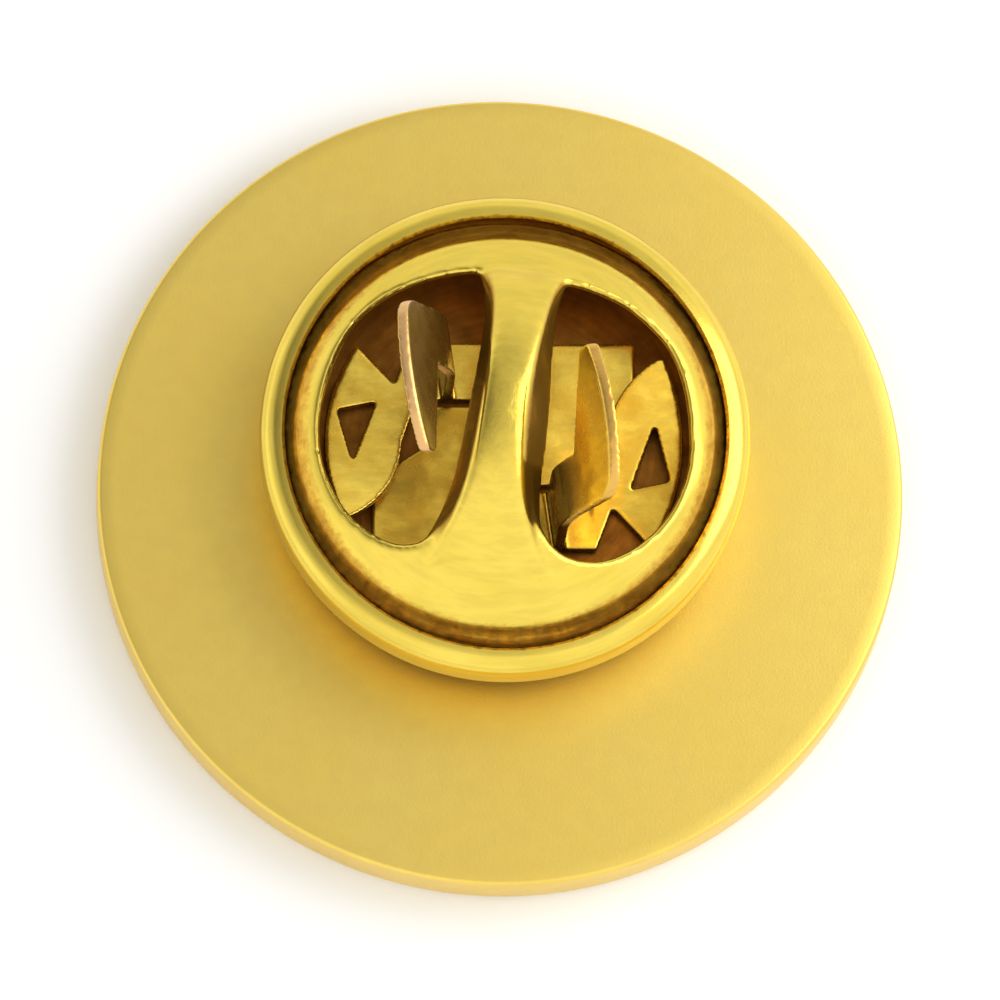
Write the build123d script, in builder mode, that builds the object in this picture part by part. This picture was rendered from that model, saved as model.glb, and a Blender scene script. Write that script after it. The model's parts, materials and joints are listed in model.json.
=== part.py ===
from build123d import *
import os
from math import cos, radians, sin, tan

os.makedirs("parts", exist_ok=True)

# Round plate, lying on its front face
badge_diameter = 19.05
badge_thickness = 1.5
back_edge_round = 0.1
front_edge_round = 0.3
border_width = 0.8
field_depth = 0.25

# Post welded to the back
post_radius = 0.5
post_offset = 0.7
post_taper_length = 0.8
post_tip_radius = 0.12
weld_radius = 0.95
weld_height = 0.15
post_tip_clearance = 0.1

# Clutch cup, with the rim that is rolled over the cap
clutch_gap = 1.1
cup_sheet = 0.3
cup_hole_clearance = 0.15
cup_corner_radius = 0.88
rim_radius = 5.78
rim_height = 2.05
rim_roll_radius = 0.3

# Domed cap of the clutch, turned on the post as it was pushed on
clutch_turn = -6.0
cap_sheet = 0.28
flange_clearance = 0.12
flange_height = 1.4
flange_width = 0.41
groove_width = 0.22
wall_foot_height = 1.8
wall_lean = 0.03
wall_top_height = 1.95
shoulder_width = 0.13
shoulder_height = 2.32
crown_height = 3.6
crown_rise = 0.22
window_margin = 0.38
window_squash = 0.65
window_top_corner = 0.25
window_bottom_corner = 1.1
window_low_shift = 0.3
window_low_margin = 1.05
window_low_squash = 0.25
bridge_width = 1.64
bridge_rise = 0.25
bridge_half_length = 4.0
bridge_end_height = 2.45
bridge_foot_height = 2.8

# Sprung jaws: a flat strip with a tongue behind the post, a spring lobe and a wing
jaw_sheet = 0.25
jaw_clearance = 0.08
tongue_clearance = 0.06
strip_inner = 1.1
strip_outer = 2.5
strip_end = 3.1
strip_side = 2.2
tongue_reach = 0.95
tongue_side = 1.6
tongue_waist = 1.8
tongue_flare = (2.6, -0.5)
tongue_corner = -1.1
lobe_heel = 2.05
lobe_inner = 2.4
lobe_clearance = 0.22
lobe_foot_angle = -35.0
lobe_end_angle = 28.0
lobe_bulge = 0.35
lobe_notch = (2.58, -1.5)
lobe_bend = -2.2
lobe_rise = 0.9
nick_corners = ((0.63, 7.7), (1.04, -18.9), (0.22, -12.0))  # inset from the lobe's edge, angle
neck_width = 1.4
ear_turn = 8.0
ear_bend_height = 3.0
ear_flare = 25.0
ear_shoulder_height = 4.0
ear_height = 5.65
ear_overhang = 2.3
ear_tip_depth = 0.4
ear_end_drop = 0.35
ear_bend_round = 3.5
ear_tip_corner = 0.19
ear_end_corner = 0.6
ear_stance = {"jaw_right": 1.24, "jaw_left": 1.42}
jaw_turn = {"jaw_right": 0.0, "jaw_left": 180.0}

# Radii from the clutch's axis, each from the one outside it
flange_radius = rim_radius - cup_sheet - flange_clearance
flange_inner_radius = flange_radius - flange_width
wall_foot_radius = flange_inner_radius - groove_width
wall_top_radius = wall_foot_radius - wall_lean
shoulder_radius = wall_top_radius - shoulder_width
lobe_outer = wall_foot_radius - cap_sheet - lobe_clearance
window_reach = wall_foot_radius - window_margin
window_half_length = window_reach - window_squash
window_low_reach = window_reach + window_low_margin
window_low_half_length = window_half_length - window_low_squash

# Levels above the resting plane
back_z = badge_thickness
cup_z = back_z + clutch_gap
jaw_z = cup_z + cup_sheet + jaw_clearance
jaw_mid_z = jaw_z + jaw_sheet / 2
rim_top_z = cup_z + rim_height
crown_z = cup_z + crown_height
dome_z = crown_z + crown_rise
bridge_z = dome_z + bridge_rise
bridge_end_z = cup_z + bridge_end_height
bridge_foot_z = cup_z + bridge_foot_height
post_tip_z = crown_z - cap_sheet - post_tip_clearance
above_all = 2 * crown_z

# The clutch stands on the post's axis; its bridge runs along the turned Y
post_axis = Axis((0, post_offset, 0), (0, 0, 1))
post_side = Plane(origin=(0, post_offset, 0), x_dir=(1, 0, 0), z_dir=(0, -1, 0))
turn = radians(clutch_turn)
cap_level = Plane(origin=(0, post_offset, 0), x_dir=(cos(turn), sin(turn), 0))
cap_across = Plane(origin=cap_level.origin, x_dir=cap_level.x_dir, z_dir=-cap_level.y_dir)
cap_along = Plane(origin=cap_level.origin, x_dir=cap_level.y_dir, z_dir=cap_level.x_dir)


with BuildPart() as badge:
    with BuildSketch(Plane.XY):
        Circle(badge_diameter / 2)
    extrude(amount=badge_thickness)
    fillet(badge.edges().group_by(Axis.Z)[-1], back_edge_round)
    fillet(badge.edges().group_by(Axis.Z)[0], front_edge_round)
    with BuildSketch(Plane.XY):
        Circle(badge_diameter / 2 - border_width)
    extrude(amount=field_depth, mode=Mode.SUBTRACT)
    with BuildSketch(post_side):
        with BuildLine():
            Polyline(
                (0, back_z - weld_height),
                (weld_radius, back_z - weld_height),
                (weld_radius, back_z),
                (post_radius, back_z + weld_height),
                (post_radius, post_tip_z - post_taper_length),
                (post_tip_radius, post_tip_z),
                (0, post_tip_z),
                close=True,
            )
        make_face()
    revolve(axis=post_axis)
badge.part.label = "badge"
export_step(badge.part, "parts/badge.step")


with BuildPart() as clutch_base:
    half_sheet = cup_sheet / 2
    floor_z = cup_z + half_sheet
    roll_z = rim_top_z - half_sheet
    side_radius = rim_radius - half_sheet
    hole_edge = (post_radius + cup_hole_clearance, floor_z)
    floor_edge = (side_radius - cup_corner_radius, floor_z)
    side_low = (side_radius, floor_z + cup_corner_radius)
    side_high = (side_radius, roll_z - rim_roll_radius)
    lip = (side_radius - rim_roll_radius, roll_z)
    with BuildSketch(post_side):
        with BuildLine():
            Line(hole_edge, floor_edge)
            TangentArc(floor_edge, side_low, tangent=(1, 0))
            Line(side_low, side_high)
            TangentArc(side_high, lip, tangent=(0, 1))
        trace(line_width=cup_sheet)
    revolve(axis=post_axis)
clutch_base.part.label = "clutch_base"
export_step(clutch_base.part, "parts/clutch_base.step")


# The bridge's rounded top: an arch across it, cut to a crescent along it
with BuildPart() as bridge:
    with BuildSketch(cap_across):
        with BuildLine():
            foot = (bridge_width / 2, bridge_foot_z)
            ThreePointArc((-foot[0], foot[1]), (0, bridge_z), foot)
            Polyline(foot, (foot[0], bridge_end_z), (-foot[0], bridge_end_z), (-foot[0], foot[1]))
        make_face()
    extrude(amount=bridge_half_length, both=True)
    with BuildSketch(cap_along):
        with BuildLine():
            end = (bridge_half_length, bridge_end_z)
            ThreePointArc((-end[0], end[1]), (0, bridge_z), end)
            ThreePointArc((-end[0], end[1]), (0, dome_z - cap_sheet), end)
        make_face()
    extrude(amount=bridge_width, both=True, mode=Mode.INTERSECT)


# What the two windows take out of the cap: an oval plug, flatter below, but for the bridge
with BuildPart() as windows:
    with BuildSketch(cap_level.offset(cup_z + wall_foot_height)):
        Ellipse(window_reach, window_half_length)
        with Locations((0, window_low_shift)):
            Ellipse(window_low_reach, window_low_half_length, mode=Mode.INTERSECT)
        Rectangle(bridge_width, 2 * window_reach, mode=Mode.SUBTRACT)
        ends = vertices().filter_by_position(Axis.X, -bridge_width, bridge_width)
        fillet(ends.sort_by(Axis.Y)[2:], window_top_corner)
        ends = vertices().filter_by_position(Axis.X, -bridge_width, bridge_width)
        fillet(ends.sort_by(Axis.Y)[:2], window_bottom_corner)
    extrude(amount=crown_height)


with BuildPart() as clutch_shell:
    half_sheet = cap_sheet / 2
    top_point = (0, dome_z - half_sheet)
    shoulder_point = (shoulder_radius - half_sheet, cup_z + shoulder_height - half_sheet)
    wall_top = (wall_top_radius - half_sheet, cup_z + wall_top_height)
    wall_foot = (wall_foot_radius - half_sheet, cup_z + wall_foot_height)
    flange_inner = (flange_inner_radius, cup_z + flange_height)
    flange_outer = (flange_radius, cup_z + flange_height)
    with BuildSketch(post_side):
        with BuildLine():
            crown = TangentArc(top_point, shoulder_point, tangent=(1, 0))
            TangentArc(shoulder_point, wall_top, tangent=crown % 1)
            wall = Line(wall_top, wall_foot)
            TangentArc(wall_foot, flange_inner, tangent=wall % 1)
            Line(flange_inner, flange_outer)
        trace(line_width=cap_sheet)
    revolve(axis=post_axis)
    add(windows.part, mode=Mode.SUBTRACT)
    add(bridge.part)
clutch_shell.part.label = "clutch_shell"
export_step(clutch_shell.part, "parts/clutch_shell.step")


def polar(radius, angle):
    return (radius * cos(radians(angle)), radius * sin(radians(angle)))


def make_jaw(name):
    level = Plane(Location((0, post_offset, 0), (0, 0, jaw_turn[name])))
    along = Plane(origin=level.origin, x_dir=level.y_dir, z_dir=level.x_dir)
    neck_middle = -(strip_inner + neck_width / 2)
    neck = Plane(level.location * Location((ear_stance[name], neck_middle, 0), (0, 0, ear_turn)))
    neck_across = Plane(origin=neck.origin, x_dir=neck.x_dir, z_dir=-neck.y_dir)
    neck_along = Plane(origin=neck.origin, x_dir=neck.y_dir, z_dir=neck.x_dir)
    bend_z = jaw_z + ear_bend_height
    shoulder_z = jaw_z + ear_shoulder_height
    top_z = jaw_z + ear_height

    # Wing: a sheet bent outward above the cap, cut to its outline
    with BuildPart() as wing:
        with BuildSketch(neck_across):
            with BuildLine():
                flare_reach = (ear_height - ear_bend_height) * tan(radians(ear_flare))
                FilletPolyline(
                    (0, jaw_z),
                    (0, bend_z),
                    (2 * flare_reach, 2 * top_z - bend_z),
                    radius=ear_bend_round,
                )
            trace(line_width=jaw_sheet)
        extrude(amount=above_all, both=True)
        with BuildSketch(neck_along):
            with BuildLine():
                half_neck = neck_width / 2
                tip = half_neck + ear_overhang
                far_corner = (-half_neck, top_z - ear_end_drop)
                tip_corner = (tip, top_z - ear_end_drop)
                tip_underside = (tip, top_z - ear_end_drop - ear_tip_depth)
                Polyline(
                    far_corner,
                    (-half_neck, jaw_z),
                    (half_neck, jaw_z),
                    (half_neck, shoulder_z),
                    tip_underside,
                    tip_corner,
                )
                ThreePointArc(tip_corner, (ear_overhang / 2, top_z), far_corner)
            make_face()
            fillet(vertices().sort_by(Axis.X)[-2:], ear_tip_corner)
            fillet(vertices().group_by(Axis.X)[0].sort_by(Axis.Y)[-1], ear_end_corner)
        extrude(amount=above_all, both=True, mode=Mode.INTERSECT)

    # Lobe: a spring leaf that rises from the strip, cut to its outline
    with BuildPart() as lobe:
        outer_foot = polar(lobe_outer, lobe_foot_angle)
        outer_end = polar(lobe_outer, lobe_end_angle)
        with BuildSketch(along):
            with BuildLine():
                Line((-strip_outer, jaw_mid_z), (lobe_bend, jaw_mid_z))
                TangentArc((lobe_bend, jaw_mid_z), (outer_end[1], jaw_mid_z + lobe_rise), tangent=(1, 0))
            trace(line_width=jaw_sheet)
        extrude(amount=lobe_outer)
        with BuildSketch(level):
            with BuildLine():
                root = (lobe_inner, 0)
                Polyline(
                    outer_foot,
                    lobe_notch,
                    (strip_side, -strip_outer),
                    (lobe_heel, -strip_inner),
                    root,
                )
                SagittaArc(root, outer_end, lobe_bulge)
                ThreePointArc(outer_end, (lobe_outer, 0), outer_foot)
            make_face()
            with BuildLine():
                Polyline([polar(lobe_outer - inset, angle) for inset, angle in nick_corners], close=True)
            make_face(mode=Mode.SUBTRACT)
        extrude(amount=above_all, mode=Mode.INTERSECT)

    with BuildPart() as jaw:
        with BuildSketch(level.offset(jaw_z)):
            with BuildLine():
                tongue_post_side = post_radius + tongue_clearance
                Polyline(
                    (-strip_end, -strip_outer),
                    (-strip_end, tongue_corner),
                    (-tongue_flare[0], tongue_flare[1]),
                    (-tongue_waist, 0),
                    (-tongue_side, tongue_reach),
                    (-tongue_post_side, tongue_reach),
                    (-tongue_post_side, -strip_inner),
                    (strip_side, -strip_inner),
                    (strip_side, -strip_outer),
                    close=True,
                )
            make_face()
        extrude(amount=jaw_sheet)
        add(wing.part)
        add(lobe.part)
    jaw.part.label = name
    export_step(jaw.part, f"parts/{name}.step")


for jaw_name in ear_stance:
    make_jaw(jaw_name)
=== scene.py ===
import json
import math

import bpy
from mathutils import Matrix, Vector
from mathutils.geometry import interpolate_bezier

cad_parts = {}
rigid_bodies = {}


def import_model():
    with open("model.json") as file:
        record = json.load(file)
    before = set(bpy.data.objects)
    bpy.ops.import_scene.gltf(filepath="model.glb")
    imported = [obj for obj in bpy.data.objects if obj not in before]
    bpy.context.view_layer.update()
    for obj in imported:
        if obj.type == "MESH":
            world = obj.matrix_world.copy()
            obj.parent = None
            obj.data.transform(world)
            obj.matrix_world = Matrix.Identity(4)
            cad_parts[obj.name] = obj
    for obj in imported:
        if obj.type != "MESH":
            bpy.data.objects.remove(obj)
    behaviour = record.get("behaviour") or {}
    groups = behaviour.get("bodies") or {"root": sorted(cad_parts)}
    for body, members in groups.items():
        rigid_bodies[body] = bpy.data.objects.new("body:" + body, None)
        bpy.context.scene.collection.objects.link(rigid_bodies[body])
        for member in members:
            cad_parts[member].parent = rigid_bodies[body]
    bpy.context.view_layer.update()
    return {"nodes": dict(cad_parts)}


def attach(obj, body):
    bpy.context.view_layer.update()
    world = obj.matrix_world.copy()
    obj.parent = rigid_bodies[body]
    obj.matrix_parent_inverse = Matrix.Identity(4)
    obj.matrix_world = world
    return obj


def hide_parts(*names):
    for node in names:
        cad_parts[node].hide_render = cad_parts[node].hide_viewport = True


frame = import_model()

# Pieces are modelled in millimetres and scaled to metres when they are finished.
mm = 0.001
postOffset = 0.7  # how far the post stands from the plate's middle
clutchTurn = -6.0  # degrees about the post
axisPoint = Vector((0, postOffset, 0))
mergeDistance = 0.002  # points closer than this become one
smoothFactor = 0.5  # pull of each smoothing pass
creaseAngle = math.radians(40)  # sharper edges than this stay crisp


def linear(hexColour):
    parts = [int(hexColour[i:i + 2], 16) / 255 for i in (1, 3, 5)]
    return [c / 12.92 if c <= 0.04045 else ((c + 0.055) / 1.055) ** 2.4 for c in parts] + [1]


def addNode(tree, kind, settings=None, links=None):
    node = tree.nodes.new(kind)
    for key, value in (settings or {}).items():
        if isinstance(key, int) or key in node.inputs:
            node.inputs[key].default_value = value
        else:
            setattr(node, key, value)
    for key, source in (links or {}).items():
        tree.links.new(source, node.inputs[key])
    return node


def pickOnly(piece):
    bpy.ops.object.select_all(action="DESELECT")
    piece.select_set(True)
    bpy.context.view_layer.objects.active = piece


def editPiece(piece, test=None):
    # Enters edit mode with only the points that the test picks, or with everything.
    if bpy.context.mode != "OBJECT":
        bpy.ops.object.mode_set(mode="OBJECT")
    pickOnly(piece)
    bpy.ops.object.mode_set(mode="EDIT")
    bpy.ops.mesh.select_mode(type="VERT")
    bpy.ops.mesh.select_all(action="SELECT" if test is None else "DESELECT")
    if test is not None:
        bpy.ops.object.mode_set(mode="OBJECT")
        for vertex in piece.data.vertices:
            vertex.select = test(vertex)
        bpy.ops.object.mode_set(mode="EDIT")


def leaveEdit():
    bpy.ops.object.mode_set(mode="OBJECT")


def modify(piece, kind, settings):
    pickOnly(piece)
    modifier = piece.modifiers.new(kind.title(), kind)
    for key, value in settings.items():
        setattr(modifier, key, value)
    bpy.ops.object.modifier_apply(modifier=modifier.name)


def tangentArc(start, heading, end, count):
    # Points of the arc that leaves start at the heading (degrees) and passes through end, and its heading
    # there.
    direction = Vector((math.cos(math.radians(heading)), math.sin(math.radians(heading))))
    chord = Vector(end) - Vector(start)
    half = math.atan2(direction.x * chord.y - direction.y * chord.x, direction.dot(chord))
    radius = chord.length / (2 * math.sin(half))
    points = []
    for i in range(1, count + 1):
        turned = 2 * half * i / count
        along = radius * math.sin(turned)
        aside = radius * (1 - math.cos(turned))
        points.append((start[0] + direction.x * along - direction.y * aside,
                       start[1] + direction.y * along + direction.x * aside))
    return points, heading + math.degrees(2 * half)


def spinProfile(name, points, centre, steps):
    # A plane is merged to the profile's first point, extruded from point to point and spun.
    bpy.ops.object.select_all(action="DESELECT")
    bpy.ops.mesh.primitive_plane_add(size=1, location=(0, 0, 0))
    piece = bpy.context.object
    piece.name = name
    bpy.ops.object.mode_set(mode="EDIT")
    bpy.ops.mesh.merge(type="CENTER")
    bpy.ops.transform.translate(value=(centre.x + points[0][0], centre.y, points[0][1]))
    for start, end in zip(points, points[1:]):
        step = (end[0] - start[0], 0, end[1] - start[1])
        bpy.ops.mesh.extrude_region_move(TRANSFORM_OT_translate={"value": step})
    bpy.ops.mesh.select_all(action="SELECT")
    bpy.ops.mesh.spin(steps=steps, angle=2 * math.pi, center=centre, axis=(0, 0, 1))
    bpy.ops.mesh.select_all(action="SELECT")
    bpy.ops.mesh.remove_doubles(threshold=mergeDistance)
    bpy.ops.mesh.normals_make_consistent(inside=False)
    leaveEdit()
    return piece


def paintFaces(piece, index, test):
    # Gives the faces that the test picks the piece's material of that index.
    for face in piece.data.polygons:
        if test(face):
            face.material_index = index


def finishPiece(piece, name, node, body, materials, second=None):
    pickOnly(piece)
    piece.name = name
    piece.data.name = name
    bpy.ops.transform.resize(value=(mm, mm, mm), center_override=(0, 0, 0))
    bpy.ops.object.transform_apply(location=True, rotation=True, scale=True)
    piece.data.materials.clear()
    for material in materials:
        piece.data.materials.append(material)
    if second:
        paintFaces(piece, 1, second)
    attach(piece, body)
    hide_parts(node)
    print("piece", name, len(piece.data.polygons), "faces")


def aroundAxis(tree, inMm):
    # Place in rings about the clutch's axis: far apart across the rings, close together along them.
    place = addNode(tree, "ShaderNodeSeparateXYZ", {}, {0: inMm}).outputs
    aside = addNode(tree, "ShaderNodeMath", {"operation": "SUBTRACT", 1: postOffset},
                    {0: place["Y"]}).outputs[0]
    flat = addNode(tree, "ShaderNodeCombineXYZ", {}, {0: place["X"], 1: aside}).outputs[0]
    radius = addNode(tree, "ShaderNodeVectorMath", {"operation": "LENGTH"}, {0: flat}).outputs["Value"]
    angle = addNode(tree, "ShaderNodeMath", {"operation": "ARCTAN2"}, {0: aside, 1: place["X"]}).outputs[0]
    return addNode(tree, "ShaderNodeCombineXYZ", {}, {0: radius, 1: angle, 2: place["Z"]}).outputs[0]


# How far the edge of the painted groove shade wanders in and out, in millimetres
grooveShadeWaver = 0.3
# Height over which the painted highlight on the cut edges fades in, in millimetres
edgeHighlightFade = 0.5


def layGrooveShade(tree, look, inMm, patchy, colour, paintedShade):
    # Painted shade in the groove between cap and rim: brown in patches of two tones, darker in the crevice,
    # which begins at an uneven line.
    outward = addNode(tree, "ShaderNodeSeparateXYZ", {}, {0: aroundAxis(tree, inMm)}).outputs["X"]
    uneven = addNode(tree, "ShaderNodeMath", {"operation": "MULTIPLY_ADD", 1: grooveShadeWaver},
                     {0: patchy, 2: outward}).outputs[0]
    begins, full = (edge + grooveShadeWaver / 2 for edge in look["groove"])
    film = addNode(tree, "ShaderNodeMapRange", {"From Min": begins, "From Max": full},
                   {"Value": uneven}).outputs[0]
    cloudy = addNode(tree, "ShaderNodeTexNoise", {
        "Scale": 1 / look["filmMm"], "Detail": 6.0, "Roughness": 0.75, "Distortion": 0.6}, {"Vector": inMm})
    clouds = addNode(tree, "ShaderNodeMapRange", {"From Min": 0.3, "From Max": 0.7},
                     {"Value": cloudy.outputs[0]})
    tones = addNode(tree, "ShaderNodeMix", {
        "data_type": "RGBA", 6: linear(look["filmDarkHex"]), 7: linear(look["filmHex"])
    }, {0: clouds.outputs[0]})
    begins, full = (edge + grooveShadeWaver / 2 for edge in look["crevice"])
    # Painted deeper shade in the crevice by the lip.
    deep = addNode(tree, "ShaderNodeMapRange", {"From Min": begins, "From Max": full, "To Max": 0.9},
                   {"Value": uneven})
    tones = addNode(tree, "ShaderNodeMix", {"data_type": "RGBA", 7: linear(look["creviceShadeHex"])},
                    {0: deep.outputs[0], 6: tones.outputs[2]})
    colour = addNode(tree, "ShaderNodeMix", {"data_type": "RGBA"},
                     {0: film, 6: colour, 7: tones.outputs[2]}).outputs[2]
    paintedShade = addNode(tree, "ShaderNodeMath", {"operation": "MAXIMUM"}, {0: paintedShade, 1: film}).outputs[0]
    return colour, paintedShade


def laySteepShade(tree, look, level, facing, colour, paintedShade):
    # Painted brown shade on the steep faces, which fades out between two heights.
    full, gone = look["shadeHeights"]
    low = addNode(tree, "ShaderNodeMapRange", {
        "From Min": full, "From Max": gone, "To Min": 1.0, "To Max": 0.0}, {"Value": level})
    flat = addNode(tree, "ShaderNodeMath", {"operation": "ABSOLUTE"}, {0: facing["Z"]}).outputs[0]
    full, gone = look["steep"]
    steep = addNode(tree, "ShaderNodeMapRange", {
        "From Min": full, "From Max": gone, "To Min": look["steepShadeDepth"], "To Max": 0.0}, {"Value": flat})
    steepShaded = addNode(tree, "ShaderNodeMath", {"operation": "MULTIPLY"},
                      {0: low.outputs[0], 1: steep.outputs[0]}).outputs[0]
    colour = addNode(tree, "ShaderNodeMix", {"data_type": "RGBA", 7: linear(look["steepShadeHex"])},
                     {0: steepShaded, 6: colour}).outputs[2]
    paintedShade = addNode(tree, "ShaderNodeMath", {"operation": "MAXIMUM"}, {0: paintedShade, 1: steepShaded}).outputs[0]
    return colour, paintedShade


def paintEdgeHighlight(tree, look, level, facing, colour):
    # Painted highlight on the cut edges of what stands up: the faces that do not look sideways, above the
    # height, are made pale.
    broad = addNode(tree, "ShaderNodeMath", {"operation": "ABSOLUTE"}, {0: facing["X"]}).outputs[0]
    narrow = addNode(tree, "ShaderNodeMapRange", {"From Min": 0.6, "From Max": 0.45}, {"Value": broad})
    high = addNode(tree, "ShaderNodeMapRange", {
        "From Min": look["edgeHighlightFrom"], "From Max": look["edgeHighlightFrom"] + edgeHighlightFade}, {"Value": level})
    edgeHighlight = addNode(tree, "ShaderNodeMath", {"operation": "MULTIPLY"},
                  {0: narrow.outputs[0], 1: high.outputs[0]})
    return addNode(tree, "ShaderNodeMix", {"data_type": "RGBA", 7: linear(look["edgeHighlightHex"])},
                   {0: edgeHighlight.outputs[0], 6: colour}).outputs[2]


def raiseGrain(tree, look, inMm, drawn):
    # Relief in three sizes: slow waves of the sheet, drawn lines and fine grain.
    wave = addNode(tree, "ShaderNodeTexNoise", {"Scale": 1 / look["waveMm"], "Detail": 1.0}, {"Vector": inMm})
    grain = addNode(tree, "ShaderNodeTexNoise", {
        "Scale": 1 / look["grainMm"], "Detail": 3.0, "Roughness": 0.55}, {"Vector": inMm})
    relief = addNode(tree, "ShaderNodeBump", {"Strength": 1.0, "Distance": look["waveDepthMm"] * mm},
                     {"Height": wave.outputs[0]})
    for height, depth in ((drawn, look["lineDepthMm"]), (grain.outputs[0], look["grainDepthMm"])):
        relief = addNode(tree, "ShaderNodeBump", {"Strength": 1.0, "Distance": depth * mm},
                         {"Height": height, "Normal": relief.outputs[0]})
    return relief.outputs[0]


def makeMetal(name, look):
    # Plated metal: two close tones in soft blotches, fine grain as bump, and painted brown shade where the
    # sheet is sheltered.
    material = bpy.data.materials.new(name)
    material.use_nodes = True
    tree = material.node_tree
    shader = tree.nodes["Principled BSDF"]
    place = addNode(tree, "ShaderNodeTexCoord").outputs["Object"]
    inMm = addNode(tree, "ShaderNodeVectorMath", {"operation": "SCALE", "Scale": 1 / mm},
                   {0: place}).outputs[0]
    blotch = addNode(tree, "ShaderNodeTexNoise", {
        "Scale": 1 / look["blotchMm"], "Detail": 4.0, "Roughness": 0.6}, {"Vector": inMm}).outputs[0]
    tone = addNode(tree, "ShaderNodeMapRange", {"From Min": 0.35, "From Max": 0.65}, {"Value": blotch})
    colour = addNode(tree, "ShaderNodeMix", {
        "data_type": "RGBA", 6: linear(look["baseHex"]), 7: linear(look["tintHex"])
    }, {0: tone.outputs[0]}).outputs[2]
    lines = addNode(tree, "ShaderNodeMapping", {"vector_type": "POINT", "Scale": look["lineScale"]},
                    {"Vector": aroundAxis(tree, inMm) if look["linesRound"] else inMm})
    drawn = addNode(tree, "ShaderNodeTexNoise", {"Scale": 1.0, "Detail": 3.0, "Roughness": 0.6},
                    {"Vector": lines.outputs[0]}).outputs[0]
    streaks = addNode(tree, "ShaderNodeMapRange", {
        "From Min": 0.4, "From Max": 0.6, "To Min": 0.0, "To Max": look["streaks"]}, {"Value": drawn})
    colour = addNode(tree, "ShaderNodeMix", {"data_type": "RGBA", 7: linear(look["streakHex"])},
                     {0: streaks.outputs[0], 6: colour}).outputs[2]
    # Painted shade: a brown tone where ambient occlusion finds the sheet sheltered, broken into patches.
    shelter = addNode(tree, "ShaderNodeAmbientOcclusion", {
        "only_local": True, "samples": 8, "Distance": look["shelterMm"] * mm})
    paintedShade = addNode(tree, "ShaderNodeMapRange", {
        "From Min": look["shelterFrom"], "From Max": look["shelterTo"],
        "To Min": look["shelterShade"], "To Max": 0.0
    }, {"Value": shelter.outputs["AO"]})
    patchy = addNode(tree, "ShaderNodeTexNoise", {
        "Scale": 1 / look["patchMm"], "Detail": 5.0, "Roughness": 0.7}, {"Vector": inMm}).outputs[0]
    patches = addNode(tree, "ShaderNodeMapRange", {
        "From Min": 0.35, "From Max": 0.6, "To Min": 1 - look["patches"], "To Max": 1.0}, {"Value": patchy})
    paintedShade = addNode(tree, "ShaderNodeMath", {"operation": "MULTIPLY"},
                   {0: paintedShade.outputs[0], 1: patches.outputs[0]}).outputs[0]
    colour = addNode(tree, "ShaderNodeMix", {"data_type": "RGBA", 7: linear(look["shelterShadeHex"])},
                     {0: paintedShade, 6: colour}).outputs[2]
    # Painted shade in the groove round the cap and inside the cup's lip.
    if "groove" in look:
        colour, paintedShade = layGrooveShade(tree, look, inMm, patchy, colour, paintedShade)
    level = addNode(tree, "ShaderNodeSeparateXYZ", {}, {0: inMm}).outputs["Z"]
    normal = addNode(tree, "ShaderNodeNewGeometry").outputs["Normal"]
    facing = addNode(tree, "ShaderNodeSeparateXYZ", {}, {0: normal}).outputs
    # Painted shade on the steep faces.
    if "shadeHeights" in look:
        colour, paintedShade = laySteepShade(tree, look, level, facing, colour, paintedShade)
    # Painted highlight on the upper cut edges.
    if "edgeHighlightFrom" in look:
        colour = paintEdgeHighlight(tree, look, level, facing, colour)
    tree.links.new(colour, shader.inputs["Base Color"])
    rough = addNode(tree, "ShaderNodeMapRange", {
        "From Min": 0.3, "From Max": 0.7, "To Min": look["roughLow"], "To Max": look["roughHigh"]
    }, {"Value": blotch})
    tree.links.new(rough.outputs[0], shader.inputs["Roughness"])
    bare = addNode(tree, "ShaderNodeMapRange", {
        "From Min": 0.0, "From Max": 1.0, "To Min": 1.0, "To Max": 1 - look["dull"]}, {"Value": paintedShade})
    tree.links.new(bare.outputs[0], shader.inputs["Metallic"])
    tree.links.new(raiseGrain(tree, look, inMm, drawn), shader.inputs["Normal"])
    return material


# Satin gold-plated brass: the struck plate is matt, so it spreads every reflection into an even glow.
satinLook = {
    "baseHex": "#efd068", "tintHex": "#eaca60", "blotchMm": 4.0, "roughLow": 0.34, "roughHigh": 0.4,
    "grainMm": 0.06, "grainDepthMm": 0.0026, "waveMm": 3.0, "waveDepthMm": 0.004,
    "linesRound": False, "lineScale": (2.0, 2.0, 2.0), "lineDepthMm": 0.001,
    "streaks": 0.25, "streakHex": "#e2c468",
    "shelterShadeHex": "#b87a1e", "shelterShade": 0.0, "shelterMm": 1.0, "shelterFrom": 0.3, "shelterTo": 0.9,
    "patchMm": 0.5, "patches": 0.5, "dull": 0.0,
}
# Polished gold-plated brass sheet: drawn and tumbled bright, it mirrors the tent in streaks that run
# round the clutch.
polishedLook = {
    "baseHex": "#efd25c", "tintHex": "#e9ca50", "blotchMm": 2.2, "roughLow": 0.15, "roughHigh": 0.24,
    "grainMm": 0.1, "grainDepthMm": 0.001, "waveMm": 1.4, "waveDepthMm": 0.012,
    "linesRound": True, "lineScale": (4.0, 3.0, 4.0), "lineDepthMm": 0.005,
    "streaks": 0.4, "streakHex": "#d2ba4e",
    "shelterShadeHex": "#a8802c", "shelterShade": 0.6, "shelterMm": 0.6, "shelterFrom": 0.4, "shelterTo": 0.7,
    "patchMm": 0.22, "patches": 0.6, "dull": 0.2,
}
# The cup's lip has painted brown shade on the side that faces the groove.
cupLook = {
    **polishedLook, "groove": (5.27, 5.2), "filmHex": "#a87c2c", "filmDarkHex": "#70480e",
    "filmMm": 0.35, "crevice": (5.2, 5.1), "creviceShadeHex": "#3c2606",
}
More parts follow.
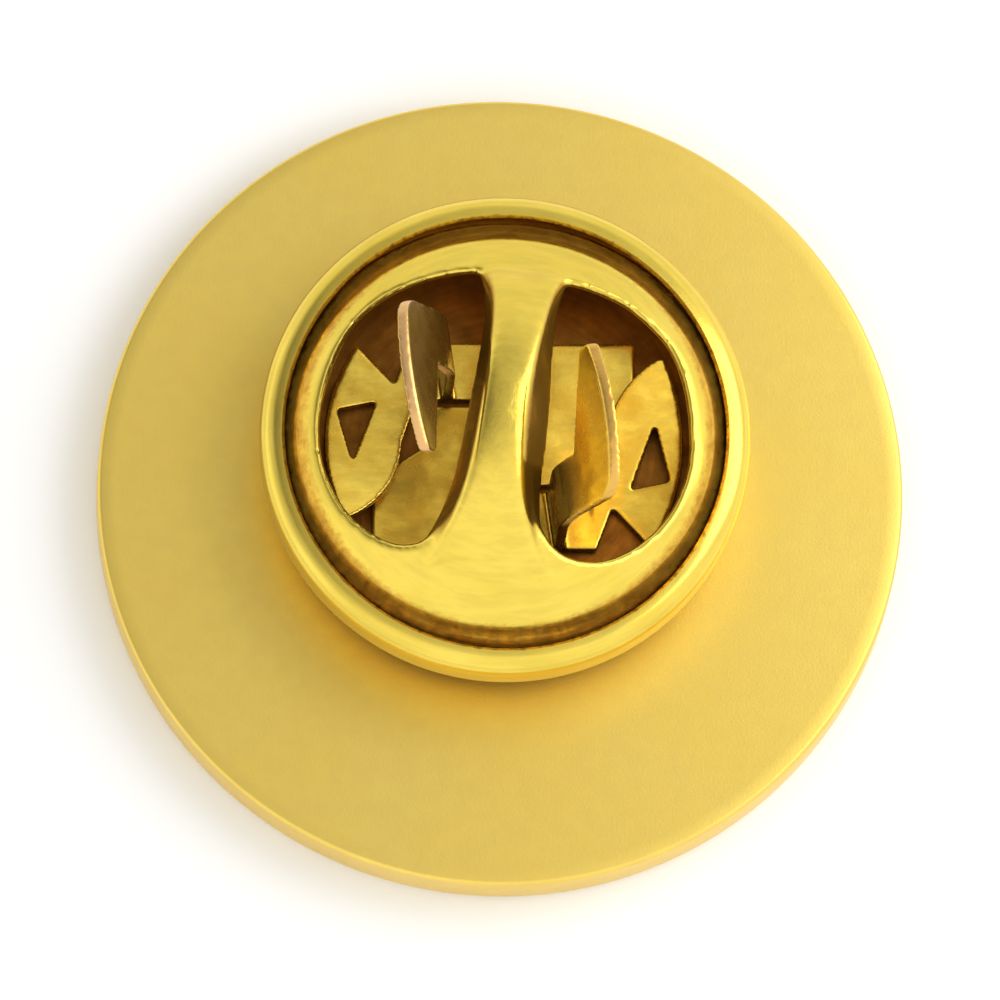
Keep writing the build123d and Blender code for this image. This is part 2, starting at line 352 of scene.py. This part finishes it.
# The cap is the same sheet, with painted brown shade in the groove round it and on the turned-down edges at
# its windows.
capLook = {
    **polishedLook, "groove": (4.66, 4.8), "filmHex": "#ecbc44", "filmDarkHex": "#ac781e",
    "filmMm": 0.5, "crevice": (5.1, 5.18), "creviceShadeHex": "#5a3a0a",
    "shadeHeights": (5.05, 4.85), "steepShadeHex": "#a0701c", "steepShadeDepth": 0.85, "steep": (0.6, 0.76),
}
# Thinly plated spring brass: stamped flat, with painted brown shade on the steep faces low down and a painted
# highlight on the cut edges above.
springLook = {
    "baseHex": "#f8d04e", "tintHex": "#e4b238", "blotchMm": 0.7, "roughLow": 0.2, "roughHigh": 0.32,
    "grainMm": 0.1, "grainDepthMm": 0.002, "waveMm": 1.0, "waveDepthMm": 0.05,
    "linesRound": False, "lineScale": (2.0, 5.0, 2.0), "lineDepthMm": 0.003,
    "streaks": 0.5, "streakHex": "#d8b040",
    "shelterShadeHex": "#8a5a1c", "shelterShade": 0.25, "shelterMm": 0.9, "shelterFrom": 0.3, "shelterTo": 0.85,
    "patchMm": 0.3, "patches": 0.6, "dull": 0.55,
    "shadeHeights": (6.2, 7.4), "steepShadeHex": "#4a2806", "steepShadeDepth": 0.95, "steep": (0.6, 0.85),
    "edgeHighlightFrom": 5.6, "edgeHighlightHex": "#e0b058",
}
# Inside of the clutch: the floor under the cap is painted dark brown and dull as shade.
shadedInsideLook = {
    "baseHex": "#9a6424", "tintHex": "#7c4c18", "blotchMm": 0.7, "roughLow": 0.3, "roughHigh": 0.45,
    "grainMm": 0.12, "grainDepthMm": 0.003, "waveMm": 0.9, "waveDepthMm": 0.02,
    "linesRound": True, "lineScale": (8.0, 2.0, 8.0), "lineDepthMm": 0.002,
    "streaks": 0.3, "streakHex": "#5c3a12",
    "shelterShadeHex": "#3a2008", "shelterShade": 0.8, "shelterMm": 1.5, "shelterFrom": 0.2, "shelterTo": 0.8,
    "patchMm": 0.4, "patches": 0.5, "dull": 0.3,
}
satinGold = makeMetal("gold-plated brass, satin", satinLook)
cupGold = makeMetal("gold-plated brass, polished, painted shade inside the lip", cupLook)
capGold = makeMetal("gold-plated brass, polished, with painted shade", capLook)
shadedInsideGold = makeMetal("brass, painted dark as shade", shadedInsideLook)
springGold = makeMetal("gold-plated spring brass", springLook)
# A copy of the spring metal painted brighter, as if lit more strongly, with its painted shade on the steep
# faces reaching higher, for the left jaw.
springGoldBrightened = makeMetal("gold-plated spring brass, more stained", {
    **springLook, "baseHex": "#ffdc5c", "tintHex": "#f8ca48", "shadeHeights": (8.8, 9.4), "edgeHighlightHex": "#deb074",
    "shelterShade": 0.1, "streaks": 0.3,
})

# Badge: the struck plate with its welded post
badge = {
    "radius": 9.525, "thickness": 1.5, "backRound": 0.1, "frontRound": 0.3, "border": 0.8, "field": 0.25,
    "fieldRound": 0.08, "borderRound": 0.1, "outerRing": 0.4, "innerRing": 2.2, "steps": 256,
}
# Post with its weld ring, whose foot is sunk in the plate
post = {
    "radius": 0.5, "tip": 5.82, "tipRadius": 0.12, "taper": 0.8, "weldRadius": 0.95, "weldHeight": 0.15,
    "sunk": 0.5, "weldEdge": 0.03, "weldRound": 0.05, "weldHollow": 0.2, "taperRound": 0.3, "tipRound": 0.06,
    "steps": 64,
}


def roundCorners(corners, count=5):
    # A polyline of (radius, height, corner radius), with an arc at each rounded corner.
    points = []
    for i, (x, z, corner) in enumerate(corners):
        here = Vector((x, z))
        if corner == 0 or i in (0, len(corners) - 1):
            points.append((x, z))
            continue
        back = (Vector(corners[i - 1][:2]) - here).normalized()
        ahead = (Vector(corners[i + 1][:2]) - here).normalized()
        reach = corner / math.tan(back.angle(ahead) / 2)
        start = here + back * reach
        heading = math.degrees(math.atan2(-back.y, -back.x))
        points.append(tuple(start))
        points += tangentArc(tuple(start), heading, tuple(here + ahead * reach), count)[0]
    return points


def makeBadge():
    rim, back, field = badge["radius"], badge["thickness"], badge["field"]
    wall = rim - badge["border"]
    disc = spinProfile("badge", roundCorners([
        (0, field, 0), (wall, field, badge["fieldRound"]), (wall, 0, badge["borderRound"]),
        (rim, 0, badge["frontRound"]), (rim, back, badge["backRound"]), (rim - badge["outerRing"], back, 0),
        (badge["innerRing"], back, 0), (0, back, 0)]), Vector((0, 0, 0)), badge["steps"])
    side, weld, foot, tip = post["radius"], post["weldRadius"], back - post["sunk"], post["tip"]
    pin = spinProfile("post", roundCorners([
        (0, foot, 0), (weld, foot, 0), (weld, back + post["weldEdge"], post["weldRound"]),
        (side, back + post["weldHeight"], post["weldHollow"]),
        (side, tip - post["taper"], post["taperRound"]), (post["tipRadius"], tip, post["tipRound"]),
        (0, tip, 0)]), axisPoint, post["steps"])
    pickOnly(disc)
    pin.select_set(True)
    bpy.ops.object.join()
    bpy.ops.object.shade_smooth_by_angle(angle=creaseAngle)
    finishPiece(disc, "badge_plate", "badge", "badge", [satinGold])


makeBadge()

# Cup of the clutch, with the rim that is rolled over the cap
cup = {
    "sheet": 0.3, "floor": 2.6, "hole": 0.65, "rim": 5.78, "corner": 0.88, "top": 4.65, "roll": 0.3,
    "lip": (5.3, 4.47), "floorRings": (2.0, 3.5), "cornerSteps": 12, "rollSteps": 10,
    "edgeRound": 0.13, "edgeSteps": 5, "sharp": 50,
    "shadedFloorRadius": 5.0, "shadedFloorTop": 3.3, "shadedFloorFacing": 0.3, "steps": 256,
}


def makeCup():
    half = cup["sheet"] / 2
    level = cup["floor"] + half
    side = cup["rim"] - half
    crest = (side - cup["roll"], cup["top"] - half)
    flatEnd = (side - cup["corner"], level)
    rollStart = (side, crest[1] - cup["roll"])
    corner = tangentArc(flatEnd, 0, (side, level + cup["corner"]), cup["cornerSteps"])[0]
    roll = tangentArc(rollStart, 90, crest, cup["rollSteps"])[0]
    floor = [(ring, level) for ring in (cup["hole"], *cup["floorRings"])] + [flatEnd]
    piece = spinProfile("cup", floor + corner + [rollStart] + roll + [cup["lip"]], axisPoint, cup["steps"])
    modify(piece, "SOLIDIFY", {"thickness": cup["sheet"], "offset": 0, "use_even_offset": True})
    modify(piece, "BEVEL", {"width": cup["edgeRound"], "segments": cup["edgeSteps"], "limit_method": "ANGLE",
                            "angle_limit": math.radians(cup["sharp"])})
    editPiece(piece)
    bpy.ops.mesh.remove_doubles(threshold=mergeDistance)  # the lip's roundings meet
    leaveEdit()
    pickOnly(piece)
    bpy.ops.object.shade_smooth_by_angle(angle=creaseAngle)
    # Faces of the cup's floor under the cap take the dark inside metal as painted shade.
    inside = lambda face: (face.normal.z > cup["shadedFloorFacing"] and face.center.z < cup["shadedFloorTop"] * mm
                           and (face.center - axisPoint * mm).xy.length < cup["shadedFloorRadius"] * mm)
    finishPiece(piece, "clutch_cup", "clutch_base", "clutch", [cupGold, shadedInsideGold], inside)


makeCup()

# Domed cap with its two windows, and the bridge between them
cap = {
    "sheet": 0.18, "swell": 0.06, "half": 0.14, "top": 6.42, "shoulder": (4.43, 4.78),
    "wallTop": (4.59, 4.62), "wallFoot": (4.67, 4.5), "footEnd": (4.98, 4.24), "flange": (5.1, 4.14),
    "stretch": 1.05, "crownSteps": 28, "shoulderSteps": 8, "footSteps": 12, "steps": 256,
    "voxel": 0.045, "lastVoxel": 0.056, "smoothing": 12,
}
# Outline of each window: from the corner beside the bridge's top end, round the window and back up the
# bridge's side
windows = {
    "right": [
        (0.55, 3.42), (0.7, 3.56), (1.06, 3.54), (1.62, 3.46), (2.2, 3.3), (2.64, 3.1), (3.3, 2.62),
        (3.74, 2.1), (4.08, 1.3), (4.26, 0.5), (4.34, -0.3), (4.2, -1.1), (3.9, -1.8), (3.42, -2.4),
        (2.8, -2.85), (2.15, -3.04), (1.55, -2.96), (1.1, -2.6), (0.82, -2.05), (0.68, -1.4),
        (0.58, -0.7), (0.55, 0.2), (0.55, 1.3), (0.55, 2.5)],
    "left": [
        (-0.55, 3.46), (-0.7, 3.6), (-1.1, 3.6), (-1.76, 3.46), (-2.44, 3.2), (-3.08, 2.84), (-3.64, 2.3),
        (-4.01, 1.65), (-4.26, 0.8), (-4.37, -0.1), (-4.32, -0.8), (-4.06, -1.6), (-3.5, -2.42),
        (-2.75, -2.95), (-2.15, -3.12), (-1.65, -3.02), (-1.25, -2.65), (-0.95, -2.1), (-0.72, -1.4),
        (-0.6, -0.7), (-0.55, 0.2), (-0.55, 1.3), (-0.55, 2.5)],
}
# Plugs that cut the windows: points to each stretch of the outline, lower end and height
plug = {"points": 8, "bottom": 4.4, "height": 3.0}
# Bridge, row by row along it: place, left and right edge of its top, left and right edge of its feet, how
# far it stands proud of the dome, and how far its sides go down below it
barRows = [
    (-4.1, -1.5, 1.4, -1.8, 1.7, -0.4, 0.3),
    (-3.6, -1.5, 1.35, -1.9, 1.7, -0.14, 0.3),
    (-3.0, -1.15, 0.9, -1.65, 1.2, 0.1, 0.4),
    (-2.1, -0.84, 0.52, -1.2, 0.94, 0.28, 0.55),
    (-1.0, -0.68, 0.38, -1.03, 0.94, 0.36, 0.6),
    (0.2, -0.62, 0.32, -0.94, 1.0, 0.4, 0.6),
    (1.4, -0.56, 0.42, -0.82, 0.9, 0.38, 0.6),
    (2.4, -0.56, 0.58, -0.78, 0.84, 0.3, 0.5),
    (3.1, -0.62, 0.7, -0.82, 0.9, 0.16, 0.4),
    (3.7, -0.8, 0.9, -1.1, 1.1, -0.04, 0.3),
    (4.1, -0.9, 1.0, -1.2, 1.2, -0.35, 0.3),
]
bar = {
    "ridge": 0.06, "sheet": 0.14, "pickWithin": 0.01,
    "edgeRound": 0.12, "edgeSteps": 2, "sharp": 28, "smoothness": 3,
}


def domeLevel(place):
    # Height of the dome's surface at that distance from its middle.
    drop = cap["top"] - cap["shoulder"][1] - cap["half"]
    reach = cap["shoulder"][0]
    radius = (reach ** 2 + drop ** 2) / (2 * drop) + cap["half"]
    return cap["top"] - radius + math.sqrt(radius ** 2 - place ** 2)


def curveThrough(points, count):
    # Closed smooth line through the points, with count points to each stretch.
    line = []
    for i, here in enumerate(points):
        before, ahead, beyond = points[i - 1], points[(i + 1) % len(points)], points[(i + 2) % len(points)]
        pull, push = (ahead - before) / 6, (beyond - here) / 6
        handles = [point.to_3d() for point in (here, here + pull, ahead - push, ahead)]
        line += [Vector(point[:2]) for point in interpolate_bezier(*handles, count + 1)[:-1]]
    return line


def drawPlug(name, outline, bottom, height):
    # A plane is merged to the outline's first point, extruded round it, closed, filled and drawn up.
    bpy.ops.object.select_all(action="DESELECT")
    bpy.ops.mesh.primitive_plane_add(size=1, location=(0, 0, 0))
    piece = bpy.context.object
    piece.name = name
    bpy.ops.object.mode_set(mode="EDIT")
    bpy.ops.mesh.merge(type="CENTER")
    bpy.ops.transform.translate(value=(*outline[0], bottom))
    for start, end in zip(outline, outline[1:]):
        bpy.ops.mesh.extrude_region_move(TRANSFORM_OT_translate={"value": (*(end - start), 0)})
    bpy.ops.mesh.select_all(action="SELECT")
    bpy.ops.mesh.edge_face_add()
    bpy.ops.mesh.extrude_region_move(TRANSFORM_OT_translate={"value": (0, 0, height)})
    bpy.ops.mesh.select_all(action="SELECT")
    bpy.ops.mesh.normals_make_consistent(inside=False)
    leaveEdit()
    return piece


def turnToClutch(piece):
    # Sets what was drawn about the origin on the post's axis, turned as the clutch is.
    pickOnly(piece)
    turn = Matrix.Translation(axisPoint) @ Matrix.Rotation(math.radians(clutchTurn), 4, "Z")
    piece.matrix_world = turn @ piece.matrix_world
    bpy.ops.object.transform_apply(location=True, rotation=True, scale=True)


def makeDome():
    # The profile is spun, drawn a little wider and given its sheet.
    top = (0, cap["top"] - cap["half"])
    crown, heading = tangentArc(top, 0, cap["shoulder"], cap["crownSteps"])
    shoulder = tangentArc(cap["shoulder"], heading, cap["wallTop"], cap["shoulderSteps"])[0]
    (wallX, wallZ), (footX, footZ) = cap["wallTop"], cap["wallFoot"]
    heading = math.degrees(math.atan2(footZ - wallZ, footX - wallX))
    foot = tangentArc(cap["wallFoot"], heading, cap["footEnd"], cap["footSteps"])[0]
    line = [top] + crown + shoulder + [cap["wallFoot"]] + foot + [cap["flange"]]
    dome = spinProfile("dome", line, axisPoint, cap["steps"])
    bpy.ops.transform.resize(value=(cap["stretch"], 1, 1), center_override=axisPoint)
    bpy.ops.object.transform_apply(location=True, rotation=True, scale=True)
    modify(dome, "SOLIDIFY", {"thickness": cap["sheet"], "offset": 0, "use_even_offset": True})
    return dome


def cutWindows(dome):
    # Each point is set further from the middle by what the sheet swells afterwards.
    for outline in windows.values():
        points = [Vector(point) * (1 + cap["swell"] / Vector(point).length) for point in outline]
        line = curveThrough(points, plug["points"])
        cutter = drawPlug("window cutter", line, plug["bottom"], plug["height"])
        turnToClutch(cutter)
        modify(dome, "BOOLEAN", {"operation": "DIFFERENCE", "solver": "EXACT", "object": cutter})
        bpy.data.objects.remove(cutter)


def makeBar():
    # A box is cut along its middle and across at each row, and each row set to its edges and the dome's
    # height there.
    bpy.ops.object.select_all(action="DESELECT")
    first, last = barRows[0][0], barRows[-1][0]
    bpy.ops.mesh.primitive_cube_add(size=1, location=(0, (first + last) / 2, 0), scale=(2, last - first, 2))
    box = bpy.context.object
    bpy.ops.object.transform_apply(location=True, rotation=True, scale=True)
    editPiece(box)
    bpy.ops.mesh.bisect(plane_co=(0, 0, 0), plane_no=(1, 0, 0))
    for row in barRows[1:-1]:
        editPiece(box)
        bpy.ops.mesh.bisect(plane_co=(0, row[0], 0), plane_no=(0, 1, 0))
    for place, topLeft, topRight, footLeft, footRight, proud, depth in barRows:
        level = domeLevel(place)
        crest = level + proud
        middle = (topLeft + topRight) / 2
        for side, top, reach, height in (
                (-1, 1, topLeft, crest), (0, 1, middle, crest + bar["ridge"]), (1, 1, topRight, crest),
                (-1, -1, footLeft, level - depth), (0, -1, middle, level - bar["sheet"]),
                (1, -1, footRight, level - depth)):
            editPiece(box, lambda v: (v.co - Vector((side, place, top))).length < bar["pickWithin"])
            bpy.ops.transform.translate(value=(reach - side, 0, height - top))
    leaveEdit()
    modify(box, "BEVEL", {"width": bar["edgeRound"], "segments": bar["edgeSteps"], "limit_method": "ANGLE",
                          "angle_limit": math.radians(bar["sharp"])})
    modify(box, "SUBSURF", {"levels": bar["smoothness"], "render_levels": bar["smoothness"]})
    turnToClutch(box)
    return box


def makeCap():
    # Dome and bridge melt into one sheet, are swollen to its thickness, and melt once more.
    dome = makeDome()
    cutWindows(dome)
    bridge = makeBar()
    pickOnly(dome)
    bridge.select_set(True)
    bpy.ops.object.join()
    modify(dome, "REMESH", {"mode": "VOXEL", "voxel_size": cap["voxel"], "use_smooth_shade": True})
    modify(dome, "SMOOTH", {"factor": smoothFactor, "iterations": cap["smoothing"]})
    modify(dome, "DISPLACE", {"strength": cap["swell"], "mid_level": 0.0})
    modify(dome, "REMESH", {"mode": "VOXEL", "voxel_size": cap["lastVoxel"], "use_smooth_shade": True})
    modify(dome, "SMOOTH", {"factor": smoothFactor, "iterations": cap["smoothing"]})
    finishPiece(dome, "clutch_cap", "clutch_shell", "clutch", [capGold])


makeCap()

# Jaws: the stamped springs keep their shape, with the edges softened as by tumbling
jaw = {"merge": 0.001, "voxel": 0.035, "smoothing": 14}


def makeJaw(node, name, metal):
    source = frame["nodes"][node]
    pickOnly(source)
    bpy.ops.object.duplicate()
    piece = bpy.context.object
    bpy.ops.object.parent_clear(type="CLEAR_KEEP_TRANSFORM")
    bpy.ops.transform.resize(value=(1 / mm, 1 / mm, 1 / mm), center_override=(0, 0, 0))
    bpy.ops.object.transform_apply(location=True, rotation=True, scale=True)
    editPiece(piece)
    bpy.ops.mesh.remove_doubles(threshold=jaw["merge"])
    leaveEdit()
    modify(piece, "REMESH", {"mode": "VOXEL", "voxel_size": jaw["voxel"], "use_smooth_shade": True})
    modify(piece, "SMOOTH", {"factor": smoothFactor, "iterations": jaw["smoothing"]})
    finishPiece(piece, name, node, node, [metal])


makeJaw("jaw_left", "jaw_left_spring", springGoldBrightened)
makeJaw("jaw_right", "jaw_right_spring", springGold)

# Studio, in metres: pale floor, softbox, light tent, and the camera at the photograph's angle
studio = {
    "floorHex": "#fbfbfa", "floorRoughness": 0.9, "floorSize": 2.0, "world": 1.0,
    "distance": 0.6, "frameWidth": 0.02364,
    "view": (-0.04, -0.229, 0.973), "aim": (-0.000007, -0.0002016, 0.0015),
}
# Softboxes: name, centre, what it faces, width, height, brightness
softboxes = [
    ("overhead right", (0.052, 0.014, 0.056), (0.01, 0, 0), 0.05, 0.07, 2.0),
]
# Light tent: towards which side, angle of the even middle, angle where it fades out, and the brightness
# it adds or takes away
tentSides = {
    "top": ((0.0, 0.4, 0.91), 8, 42, -0.38),
    "left": ((-0.62, 0.15, 0.77), 12, 40, -0.44),
    "low left": ((-0.95, 0.05, 0.3), 10, 45, 0.3),
    "right": ((0.8, 0.1, 0.5), 20, 70, 0.14),
    "front": ((0.0, -0.9, 0.4), 30, 80, 0.2),
}


def makeFloor():
    bpy.ops.object.select_all(action="DESELECT")
    bpy.ops.mesh.primitive_plane_add(size=studio["floorSize"], location=(0, 0, 0))
    floor = bpy.context.object
    floor.name = "studio_floor"
    paper = bpy.data.materials.new("white paper")
    paper.use_nodes = True
    shader = paper.node_tree.nodes["Principled BSDF"]
    shader.inputs["Base Color"].default_value = linear(studio["floorHex"])
    shader.inputs["Roughness"].default_value = studio["floorRoughness"]
    floor.data.materials.append(paper)


def makeLights():
    for name, centre, target, width, height, brightness in softboxes:
        bpy.ops.object.light_add(type="AREA", location=centre)
        light = bpy.context.object
        light.name = "softbox " + name
        light.rotation_euler = (Vector(target) - Vector(centre)).to_track_quat("-Z", "Y").to_euler()
        light.data.shape = "RECTANGLE"
        light.data.size = width
        light.data.size_y = height
        light.data.energy = brightness * math.pi * width * height


def makeTent():
    world = bpy.data.worlds.new("studio")
    world.use_nodes = True
    tree = world.node_tree
    tree.nodes["Background"].inputs["Color"].default_value = (1, 1, 1, 1)
    towards = addNode(tree, "ShaderNodeTexCoord").outputs["Generated"]
    brightness = addNode(tree, "ShaderNodeMath", {0: studio["world"], 1: 0.0}).outputs[0]
    for side, even, fade, gain in tentSides.values():
        facing = addNode(tree, "ShaderNodeVectorMath", {
            "operation": "DOT_PRODUCT", 1: Vector(side).normalized()}, {0: towards})
        lobe = addNode(tree, "ShaderNodeMapRange", {
            "interpolation_type": "SMOOTHSTEP", "From Min": math.cos(math.radians(fade)),
            "From Max": math.cos(math.radians(even)), "To Min": 0.0, "To Max": gain
        }, {"Value": facing.outputs["Value"]})
        brightness = addNode(tree, "ShaderNodeMath", {}, {0: brightness, 1: lobe.outputs[0]}).outputs[0]
    tree.links.new(brightness, tree.nodes["Background"].inputs["Strength"])
    bpy.context.scene.world = world


def makeCamera():
    back = Vector(studio["view"]).normalized()
    right = Vector((0, 1, 0)).cross(back).normalized()
    up = back.cross(right)
    bpy.ops.object.camera_add()
    camera = bpy.context.object
    turn = Matrix((right, up, back)).transposed().to_4x4()
    camera.matrix_world = Matrix.Translation(Vector(studio["aim"]) + back * studio["distance"]) @ turn
    camera.data.lens = camera.data.sensor_width * studio["distance"] / studio["frameWidth"]
    bpy.context.scene.camera = camera
    bpy.context.scene.view_settings.view_transform = "Standard"


makeFloor()
makeLights()
makeTent()
makeCamera()
print("studio ready")
